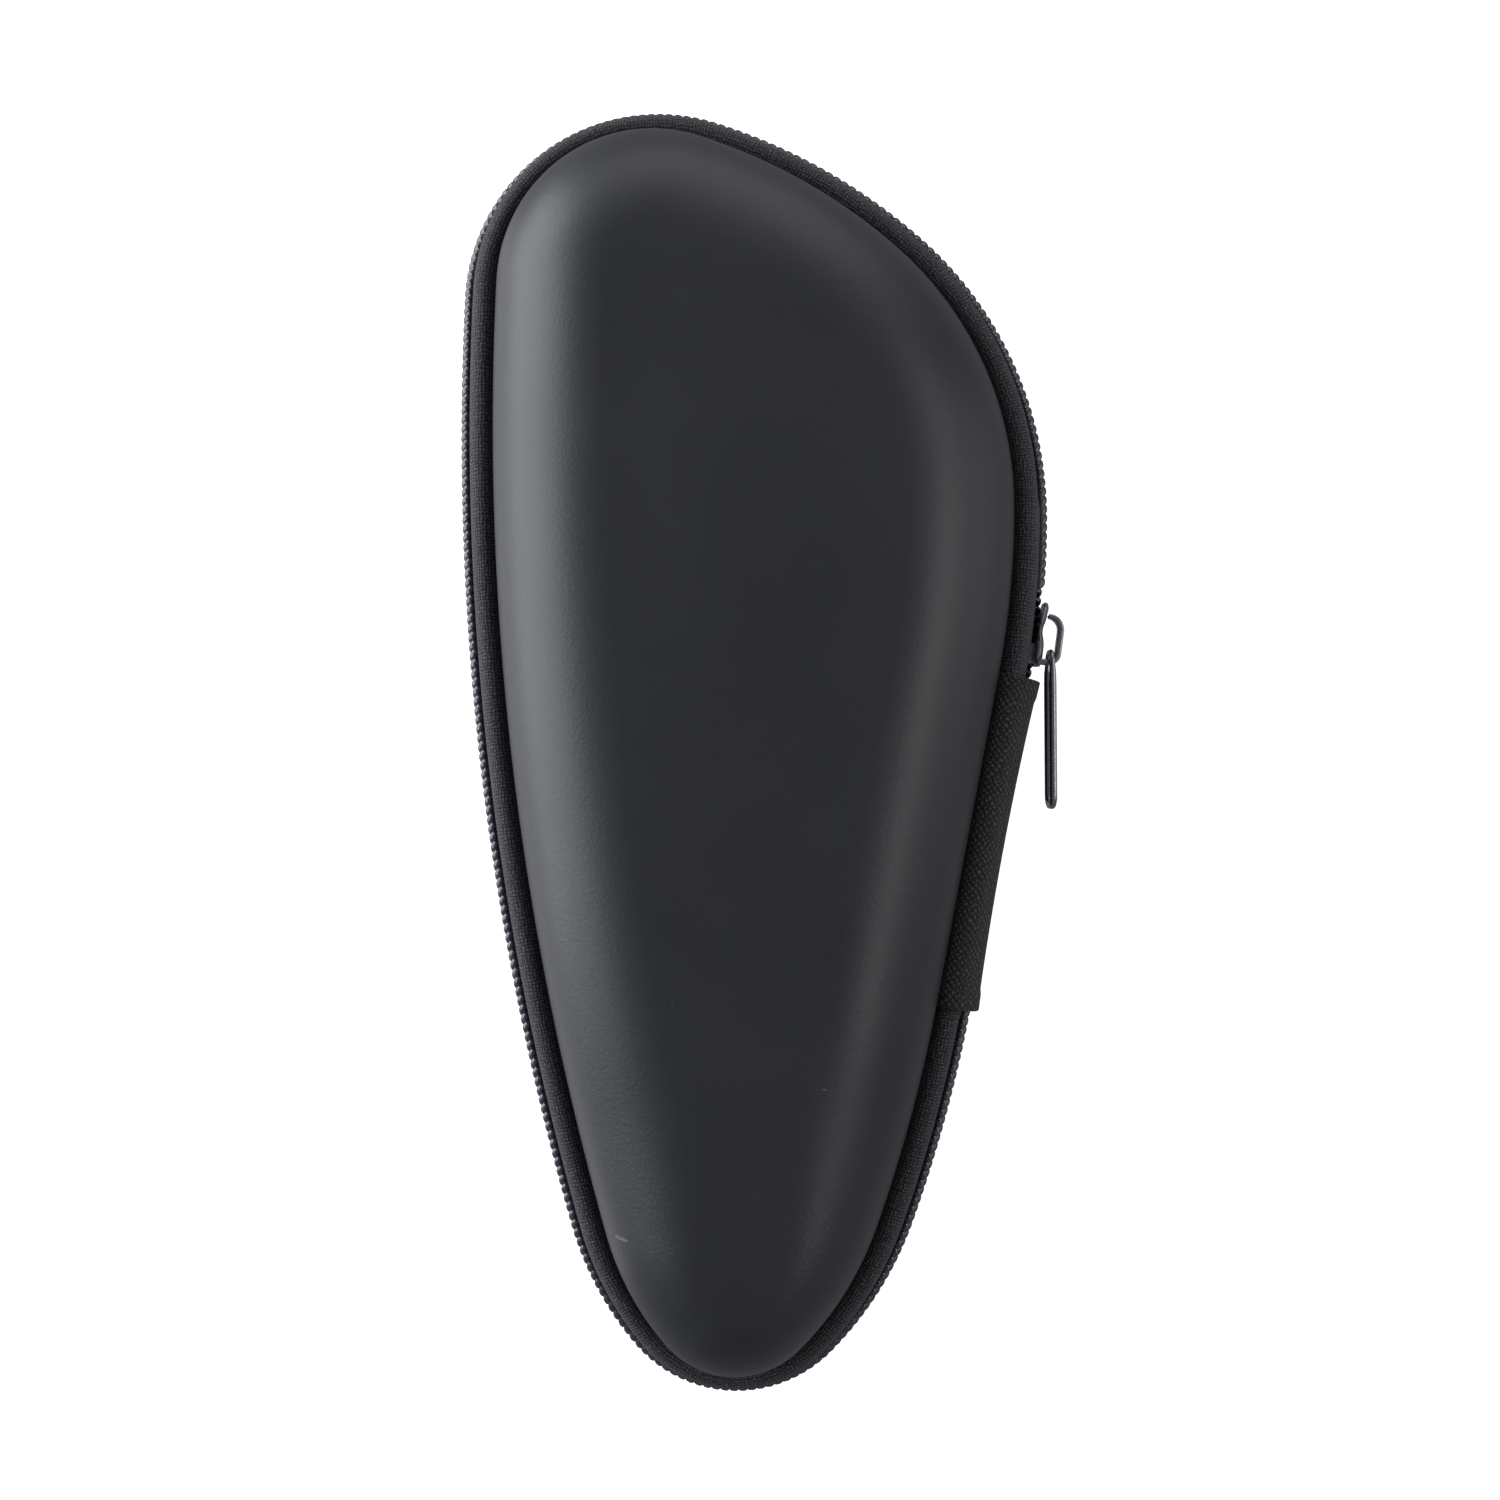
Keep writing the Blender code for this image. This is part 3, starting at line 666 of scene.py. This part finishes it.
def dark_metal():
    """Dark nickel plate, tumbled smooth, with a fine mottle."""
    made, tree, shader = start_material("dark_metal", Metallic=1.0)
    where = node(tree, "TexCoord").outputs["Object"]
    mottle = noise(tree, where, 1500.0, 4.0)
    colour = ramp(tree, mottle, 0.3, 0.7, (0.22, 0.22, 0.24), (0.26, 0.26, 0.28))
    rough = node(tree, "MapRange", {0: mottle, 1: 0.3, 2: 0.7, 3: 0.24, 4: 0.28}).outputs[0]
    bump = node(tree, "Bump", {"Height": mottle, "Strength": 0.03, "Distance": 0.00003})
    finish_shader(tree, shader, colour, rough, bump)
    return made


def lining_knit():
    """Short brushed knit: soft, matt, with a fine pile."""
    fixed = dict(Roughness=0.95, Sheen_Weight=0.5, Sheen_Roughness=0.5)
    made, tree, shader = start_material("lining_knit", **fixed)
    where = node(tree, "TexCoord").outputs["Object"]
    loops = node(tree, "TexVoronoi", {"Vector": where, "Scale": 1400.0}).outputs["Distance"]
    pile = noise(tree, where, 350.0, 5.0)
    height = calc(tree, "ADD", calc(tree, "MULTIPLY", loops, 0.6), pile)
    bump = node(tree, "Bump", {"Height": height, "Strength": 0.8, "Distance": 0.0003})
    colour = ramp(tree, height, 0.4, 1.1, (0.012, 0.012, 0.014), (0.04, 0.04, 0.045))
    finish_shader(tree, shader, colour, bump=bump)
    return made


def cut_foam():
    """Closed-cell foam at a cut edge."""
    made, tree, shader = start_material("cut_foam", Roughness=0.9)
    where = node(tree, "TexCoord").outputs["Object"]
    cells = node(tree, "TexVoronoi", {"Vector": where, "Scale": 2600.0}).outputs["Distance"]
    bump = node(tree, "Bump", {"Height": cells, "Strength": 0.6, "Distance": 0.00015})
    colour = ramp(tree, cells, 0.1, 0.6, (0.02, 0.02, 0.023), (0.045, 0.045, 0.05))
    finish_shader(tree, shader, colour, bump=bump)
    return made


# Woven finishes take a dark yarn colour, then the colour of a painted highlight on the yarn crests.
STRAP_YARN_AND_PAINTED_HIGHLIGHT = (0.003, 0.003, 0.004), (0.060, 0.055, 0.058)
MATERIALS = {
    "shell_leather": shell_leather(),
    "tape": woven("zip_tape_weave", 0.55, (0.002, 0.002, 0.004), (0.082, 0.083, 0.095), 0.00013),
    "strap": woven("hinge_strap_weave", 0.82, *STRAP_YARN_AND_PAINTED_HIGHLIGHT, 0.0003, bias=True),
    "binding": woven("binding_weave", 0.5, (0.008, 0.008, 0.01), (0.04, 0.04, 0.045), 0.00015),
    "coil": coil_nylon(),
    "dark_metal": dark_metal(),
    "lining": lining_knit(),
    "foam": cut_foam(),
}


def dress(piece, finish, node_name, body=None):
    """Give a piece its material, and let it stand for its CAD node and ride on that node's body."""
    piece.data.materials.append(MATERIALS[finish])
    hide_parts(node_name)
    if body:
        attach(piece, body)


# ---------------------------------------------------------------- the two halves


def shell(prefix, side, body):
    """Skin, foam core and lining of one half."""
    crown = FACE_CROWN if side > 0 else 0.0
    outer, under = layer_section(0.0), layer_section(SKIN_THICKNESS)
    skin = dish(prefix + "_skin", outer, under, side, crown)
    dress(skin, "shell_leather", prefix + "_shell_skin", body)

    foot = flange_section(RING, CORE_INSIDE)[:, :1]
    under = np.concatenate((foot, wall_section(RING, CORE_INSIDE)), 1)
    core = dish(prefix + "_core", layer_section(CORE_OUTSIDE), under, side)
    dress(core, "foam", prefix + "_shell_core", body)

    layers = []
    for depth in (LINING_OUTSIDE, LINING_INSIDE):
        section = wall_section(RING, depth).copy()
        section[:, 0, 1] = LINING_EDGE
        layers.append(section)
    lining = dish(prefix + "_lining_cloth", layers[0], layers[1], side)
    dress(lining, "lining", prefix + "_lining", body)


def tape(prefix, side, body):
    """The woven tape over one flange.

    It carries the coil on its foot. The foot ends higher where the slider runs, and higher still at
    the hinge, where nothing is zipped.
    """
    distance = RING.distance
    rises = smoothstep(distance, START_OF["hinge"] - TAPE_EDGE_BLEND, START_OF["hinge"])
    falls = smoothstep(distance, START_OF["above_hinge"], START_OF["above_hinge"] + TAPE_EDGE_BLEND)
    past_track = smoothstep(distance, START_OF["shoulder"], START_OF["shoulder"] + MESH_BLEND)
    at_track = rises * (1.0 - past_track)
    edge = TAPE_EDGE_AT_COIL + (TAPE_EDGE_AT_SLIDER - TAPE_EDGE_AT_COIL) * at_track
    edge = edge + (TAPE_EDGE_AT_HINGE - TAPE_EDGE_AT_SLIDER) * rises * (1.0 - falls)
    angles = np.radians(np.linspace(*RIDGE_TURNS, RIDGE_STEPS))
    arc = np.stack((-RIDGE_REACH * np.cos(angles), RIDGE_RISE * np.sin(angles)), -1)
    arc = np.array(RIDGE_CENTRE) + arc
    at_slider = rises * falls * (1.0 - past_track)
    inset = TAPE_FOOT_INSET + (TAPE_FOOT_INSET_AT_SLIDER - TAPE_FOOT_INSET) * at_slider
    foot = np.stack((inset, edge + TAPE_THICKNESS / 2), -1)
    knee = (foot + arc[0]) / 2
    ridge = np.broadcast_to(arc, (len(edge), *arc.shape))
    line = np.concatenate((foot[:, None], knee[:, None], ridge), 1)
    grid = place(RING, ribbon(line, TAPE_THICKNESS), side)
    piece = swept(prefix + "_tape", grid, distance, True)
    dress(piece, "tape", prefix + "_zip_tape", body)


def coil(prefix, side, start, phase, body):
    """One row of coil: a flat helix, whose heads mesh with the other row's past the slider."""
    end = PERIMETER + START_OF["hinge"]
    turns = int((end - start) / COIL_PITCH) - 1
    angle = np.linspace(0.0, 2 * pi * turns, turns * COIL_TURN_STEPS + 1)
    distance = start + COIL_PITCH * (0.5 + phase + angle / (2 * pi) - COIL_LEAN * np.cos(angle))
    track_end = START_OF["shoulder"]
    meshed = smoothstep(distance, track_end, track_end + MESH_BLEND)
    swollen = smoothstep(np.sin(angle) - 0.5 * np.cos(angle), *COIL_SWELL)
    wire = COIL_HEAD_WIRE + (COIL_ROOT_WIRE - COIL_HEAD_WIRE) * swollen
    head = COIL_PARTED + (COIL_MESHED - COIL_PARTED) * meshed + COIL_HEAD_WIRE
    root = COIL_TOP - COIL_ROOT_WIRE
    height = (root + head) / 2 + (root - head) / 2 * np.sin(angle)
    inset = COIL_DEPTH / 2 + (COIL_DEPTH / 2 - wire) * np.cos(angle)
    points, normals = outline_at(distance)
    flat = points - MIDDLE - inset[:, None] * normals
    path = np.concatenate((flat, (HALF_DEPTH + side * height)[:, None]), -1)
    width = COIL_HEAD_WIRE + (COIL_ROOT_WIDTH - COIL_HEAD_WIRE) * swollen
    tangent = np.stack((-normals[:, 1], normals[:, 0], np.zeros(len(normals))), -1)
    piece = tube(prefix + "_coil", path, wire, COIL_SIDES, tangent, width=width)
    dress(piece, "coil", prefix + "_zip_coil", body)


def inner_binding(prefix, side, body):
    """The tape over the raw edge inside the case."""
    section = ribbon(smooth_line(BINDING_LINE, 4) * MM, BINDING_THICKNESS)
    section = np.broadcast_to(section, (len(RING.points), *section.shape))
    piece = swept(prefix + "_binding", place(RING, section, side), RING.distance, True)
    dress(piece, "binding", prefix + "_inner_binding", body)


# ---------------------------------------------------------------- the hinge


def hinge_strap():
    """The outer strap: one piece of coarse webbing over both flanges, with folded ends."""
    upper = smooth_line(STRAP_LINE, 5) * MM
    line = np.concatenate((upper, (upper * (1.0, -1.0))[-2::-1]))
    run = run_between(START_OF["hinge"], START_OF["hinge"] + HINGE_LENGTH, STRAP_STEP)
    local = (run.distance - run.distance[0]) / HINGE_LENGTH
    from_end = np.minimum(local, 1.0 - local)
    fold = 1.0 + FOLD_THICKENING * (1.0 - smoothstep(from_end, *FOLD_SHARE))
    hollow = STRAP_HOLLOW * (1.0 - (2.0 * local - 1.0) ** 2)
    outermost = 1.0 - smoothstep(line[:, 0], 0.0, STRAP_HOLLOW_INSET)
    sections = []
    for thicker, inward in zip(fold, hollow):
        moved = line + np.stack((inward * outermost, np.zeros(len(line))), -1)
        sections.append(ribbon(moved, STRAP_THICKNESS * thicker))
    sections = np.stack(sections)
    piece = swept("hinge_strap", place(run, sections, 1), run.distance, False)
    bevelled(piece, 0.25 * MM, 2)
    dress(piece, "strap", "hinge_fabric")
    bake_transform(piece)


def hinge_strip():
    """The inner strip of the hinge."""
    half = STRIP_HALF_HEIGHT - STRIP_THICKNESS / 2
    height = np.linspace(half, -half, STRIP_STEPS)
    line = np.stack((np.full(STRIP_STEPS, STRIP_INSET), height), -1)
    first = START_OF["hinge"] + STRIP_END_GAP
    run = run_between(first, first + HINGE_LENGTH - 2 * STRIP_END_GAP)
    section = ribbon(line, STRIP_THICKNESS)
    section = np.broadcast_to(section, (len(run.points), *section.shape))
    piece = swept("hinge_inner_strip", place(run, section, 1), run.distance, False)
    dress(piece, "binding", "hinge_lining")
    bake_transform(piece)


# ---------------------------------------------------------------- slider, hook and loop


def slider_frame():
    """The slider's frame on the track, as a matrix."""
    parked = START_OF["chain_start"] - TRACK_RADIUS * radians(CHAIN_NORMAL - SLIDER_ANGLE)
    points, _ = outline_at(np.array([parked]))
    origin = points[0] - MIDDLE
    turned = Matrix.Rotation(radians(SLIDER_ANGLE), 4, "Z")
    return Matrix.Translation((origin[0], origin[1], HALF_DEPTH)) @ turned


FRAME = slider_frame()


def in_frame(points):
    """Points of the slider's frame in the world."""
    turned = np.array(FRAME)
    return points @ turned[:3, :3].T + turned[:3, 3]


def loft(name, sections):
    """A solid through closed sections that are given in the slider's frame."""
    return swept(name, in_frame(sections), np.arange(len(sections)) * MM, False)


def slab(low, high, y, wide):
    """A rectangle across the slider at `y`, from `low` to `high` in x and `wide` to each side."""
    return [(low, y, -wide), (low, y, wide), (high, y, wide), (high, y, -wide)]


def slider_plates():
    """The shield-shaped outer plate with its lips, the inner plate and the post between them."""
    stations = np.linspace(-SLIDER_LENGTH / 2, SLIDER_LENGTH / 2, PLATE_STEPS)
    share = (stations + SLIDER_LENGTH / 2) / SLIDER_LENGTH
    shoulder = 1.0 - PLATE_TAPER * smoothstep(share, *PLATE_TAPER_SHARE)
    rounding = 1.0 - (2 * np.abs(share - 0.5)) ** PLATE_END_POWER
    rounding = np.sqrt(np.clip(rounding, PLATE_END_LEAST, 1.0))
    half = SLIDER_HALF_WIDTH * shoulder * rounding
    dip = PLATE_DIP * np.exp(-(((share - PLATE_DIP_MIDDLE) / PLATE_DIP_SPREAD) ** 2))
    dip = dip - PLATE_LUG * smoothstep(share, *PLATE_LUG_SHARE)
    outer = []
    for y, wide, low in zip(stations, half, dip):
        top = OUTER_PLATE_TOP - low
        under = OUTER_PLATE_UNDER
        narrow = wide - LIP_WIDTH
        edge = under - LIP_LEAST
        edge += (OUTER_LIP - edge) * smoothstep(narrow, *LIP_FADE)
        rim = [(top - drop * MM, wide - inward * MM) for drop, inward in PLATE_ROUNDING]
        rim += [(edge, wide), (edge, narrow), (under, narrow)]
        far_rim = [(x, -z) for x, z in rim]
        ring = far_rim[:3] + [(top, 0.0)] + rim[2::-1] + rim[3:] + far_rim[:2:-1]
        outer.append([(x, y, z) for x, z in ring])
    plate = bevelled(loft("slider_plate", np.array(outer)), 0.12 * MM, 2)
    inner = [slab(*INNER_PLATE, y, wide) for y, wide in zip(stations, INNER_HALF_WIDTH * rounding)]
    back_plate = bevelled(loft("slider_inner_plate", np.array(inner)), 0.15 * MM, 2)
    foot = POST_GAP - SLIDER_LENGTH / 2
    low, high = INNER_PLATE[1] - OVERLAP, OUTER_PLATE_UNDER + OVERLAP
    post = [slab(low, high, foot + ahead * MM, wide) for ahead, wide in POST_STATIONS]
    bridge = loft("slider_post", np.array(post))
    for part in (plate, back_plate, bridge):
        dress(part, "dark_metal", "slider_body", "slider")


def hook_line():
    """The hook's middle line in the slider's frame, as x and y."""
    far = BAIL_REACH - BAIL_THICKNESS / 2
    points = [(OUTER_PLATE_UNDER + OVERLAP, BAIL_FOOT_Y), (OUTER_PLATE_TOP, BAIL_FOOT_Y)]
    foot_y, tip_y = BAIL_FOOT_Y + BAIL_FOOT_BEND, BAIL_TIP_Y - BAIL_TIP_BEND
    for y, bend, first in ((foot_y, BAIL_FOOT_BEND, -90.0), (tip_y, BAIL_TIP_BEND, 0.0)):
        for turn in np.radians(np.linspace(first, first + 90.0, BEND_STEPS)):
            points.append((far - bend + bend * cos(turn), y + bend * sin(turn)))
    points.append((BAIL_TIP_X, BAIL_TIP_Y - 0.1 * MM))
    return np.array(points)


def slider_hook():
    """The open hook: a strip with round edges, bent out, along and back in to a free tip."""
    line = hook_line()
    ahead = np.gradient(line, axis=0)
    ahead /= np.linalg.norm(ahead, axis=-1, keepdims=True)
    across = np.stack((ahead[:, 1], -ahead[:, 0]), -1)
    share = np.linspace(0.0, 1.0, len(line))
    thinning = BAIL_THINNING * smoothstep(share, *BAIL_THINNING_SHARE)
    narrowing = BAIL_NARROWING * smoothstep(share, *BAIL_NARROWING_SHARE)
    thick = BAIL_THICKNESS / 2 * (1.0 - thinning)
    wide = BAIL_WIDTH / 2 * (1.0 - narrowing)
    sections = []
    for point, side, t, w in zip(line, across, thick, wide):
        ring = []
        for turn in np.linspace(0.0, 2 * pi, BAIL_SIDES, endpoint=False):
            bulge = max(abs(cos(turn)), abs(sin(turn))) ** BAIL_ROUNDNESS
            offset = side * t * cos(turn) / bulge
            ring.append((point[0] + offset[0], point[1] + offset[1], w * sin(turn) / bulge))
        sections.append(ring)
    piece = bevelled(loft("slider_hook", np.array(sections)), 0.2 * MM)
    dress(piece, "dark_metal", "slider_bail", "slider")


def pull_loop():
    """The closed wire loop, thinner at its top bar, hanging straight down from the hook."""
    wide = LOOP_WIDTH / 2 - WIRE_RADIUS - LOOP_CORNER
    top = -LOOP_CORNER
    bottom = LOOP_CORNER + 2 * WIRE_RADIUS - LOOP_LENGTH
    path = []
    corners = ((wide, top, 0.0), (-wide, top, 90.0), (-wide, bottom, 180.0), (wide, bottom, 270.0))
    for z, y, start in corners:
        for turn in np.linspace(start, start + 90.0, BEND_STEPS):
            up, out = LOOP_CORNER * sin(radians(turn)), LOOP_CORNER * cos(radians(turn))
            path.append((0.0, y + up, z + out))
        if start in (90.0, 270.0):
            here, there = (top, bottom) if start == 90.0 else (bottom, top)
            side = -wide - LOOP_CORNER if start == 90.0 else wide + LOOP_CORNER
            path += [(0.0, y, side) for y in np.linspace(here, there, LOOP_SIDE_STEPS)[1:-1]]
    path = np.array(path)
    radius = NECK_RADIUS + (WIRE_RADIUS - NECK_RADIUS) * smoothstep(-path[:, 1], *NECK_BLEND)
    path = path + np.array(FRAME @ Vector(LOOP_BAR))
    piece = tube("wire_loop", path, radius, WIRE_SIDES, np.array((1.0, 0.0, 0.0)), closed=True)
    dress(piece, "dark_metal", "pull_loop", "pull")


# ---------------------------------------------------------------- surroundings


def aim(thing, place_at, target, up=(0.0, 1.0, 0.0)):
    """Put a lamp or camera somewhere, looking at a target."""
    ahead = (Vector(target) - Vector(place_at)).normalized()
    right = ahead.cross(Vector(up)).normalized()
    above = right.cross(ahead)
    turned = Matrix((right, above, -ahead)).transposed().to_4x4()
    thing.matrix_world = Matrix.Translation(place_at) @ turned


def softbox(name, place_at, target, width, height, power, colour=(1.0, 1.0, 1.0)):
    """A rectangular area lamp."""
    lamp = bpy.data.lights.new(name, "AREA")
    lamp.shape = "RECTANGLE"
    lamp.size = width
    lamp.size_y = height
    lamp.energy = power
    lamp.color = colour
    made = bpy.data.objects.new(name, lamp)
    bpy.context.collection.objects.link(made)
    aim(made, place_at, target)


def studio():
    """Pale floor, broad softboxes on the left, weak ones on the other sides, and a dim even sky."""
    mesh = bpy.data.meshes.new("floor")
    level = CAD_BOX[0].z - FLOOR_GAP
    turned = ((-1, -1), (1, -1), (1, 1), (-1, 1))
    corners = [(FLOOR_HALF * x, FLOOR_HALF * y, level) for x, y in turned]
    mesh.from_pydata(corners, [], [(0, 1, 2, 3)])
    floor = bpy.data.objects.new("floor", mesh)
    bpy.context.collection.objects.link(floor)
    made, tree, shader = start_material("floor_paper", Roughness=0.9, Specular_IOR_Level=0.1)
    where = node(tree, "TexCoord").outputs["Object"]
    colour = ramp(tree, noise(tree, where, 3.0), 0.3, 0.7, (0.86, 0.86, 0.86), (0.88, 0.88, 0.88))
    finish_shader(tree, shader, colour)
    shader.inputs["Emission Color"].default_value = (1.0, 1.0, 1.0, 1.0)
    shader.inputs["Emission Strength"].default_value = 0.8
    mesh.materials.append(made)
    floor.visible_glossy = False
    floor.visible_diffuse = False
    floor.visible_shadow = False

    cool = (0.94, 0.97, 1.0)
    softbox("left_softbox", (-0.7, 0.33, 0.2), (0.0, 0.33, 0.2), 0.8, 1.1, 12.4, cool)
    softbox("left_far_softbox", (-0.7, 0.62, 0.2), (0.0, 0.62, 0.2), 0.8, 0.5, 2.2, cool)
    softbox("left_bounce", (-0.33, 0.0, -0.25), (0.0, 0.0, 0.02), 0.35, 0.6, 0.4)
    softbox("right_fill", (0.7, 0.1, 0.2), (0.0, 0.0, 0.0), 0.8, 0.5, 0.9)
    softbox("right_strip", (0.6, 0.0, 0.55), (0.0, 0.0, 0.0), 0.12, 0.9, 1.6)
    softbox("far_fill", (0.1, 0.8, 0.25), (0.0, 0.0, 0.0), 0.9, 0.6, 2.0)

    world = bpy.data.worlds.new("studio")
    world.use_nodes = True
    sky = world.node_tree
    sky.nodes["Background"].inputs["Color"].default_value = (0.93, 0.95, 1.0, 1.0)
    sky.nodes["Background"].inputs["Strength"].default_value = 0.26
    bpy.context.scene.world = world
    bpy.context.scene.view_settings.view_transform = "Standard"


def camera():
    """Looks straight down on the case, a little from below its middle."""
    lens = bpy.data.cameras.new("camera")
    lens.lens = CAMERA_LENS
    lens.sensor_width = 36.0
    lens.clip_start = 0.01
    made = bpy.data.objects.new("camera", lens)
    bpy.context.collection.objects.link(made)
    place_at = (*CAMERA_FOOT, HALF_DEPTH + CAMERA_HEIGHT)
    aim(made, place_at, (*CAMERA_AIM, HALF_DEPTH), (sin(CAMERA_ROLL), cos(CAMERA_ROLL), 0.0))
    bpy.context.scene.camera = made


for half, half_side in (("back", -1), ("front", 1)):
    rides_on = half + "_half"
    shell(half, half_side, rides_on)
    inner_binding(half, half_side, rides_on)
tape("back", -1, "back_half")
tape("front", 1, "front_half")
coil("back", -1, START_OF["above_hinge"], 0.0, "back_half")
coil("front", 1, START_OF["chain_start"], 0.5, "front_half")
hinge_strap()
hinge_strip()
slider_plates()
slider_hook()
pull_loop()
studio()
camera()
